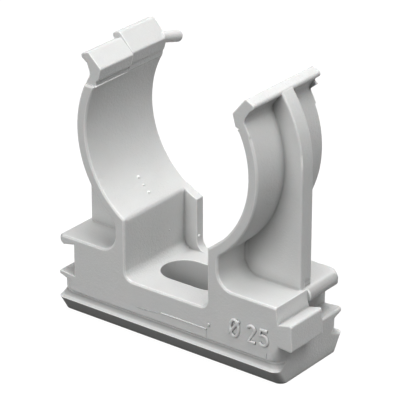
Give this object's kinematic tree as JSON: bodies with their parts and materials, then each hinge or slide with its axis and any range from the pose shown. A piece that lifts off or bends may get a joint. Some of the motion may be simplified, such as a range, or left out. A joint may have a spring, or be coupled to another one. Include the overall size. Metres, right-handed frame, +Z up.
{
  "type": "conduit clip",
  "caption": "Moulded plastic snap-in clip for rigid conduit, with two ribbed spring arms, a slotted screw base and tongue-and-groove ends that join clips side by side.",
  "frame": {"origin": "middle of the base's underside, in the centre of the screw slot", "axes": "+X across the clip towards its right arm, +Y along the conduit towards the rear face, +Z up from the mounting surface"},
  "size_m": [0.0388, 0.0174, 0.0373],
  "materials": {
    "body": "satin"
  },
  "bodies": {
    "root": {"clip_body": "body"}
  },
  "joints": []
}
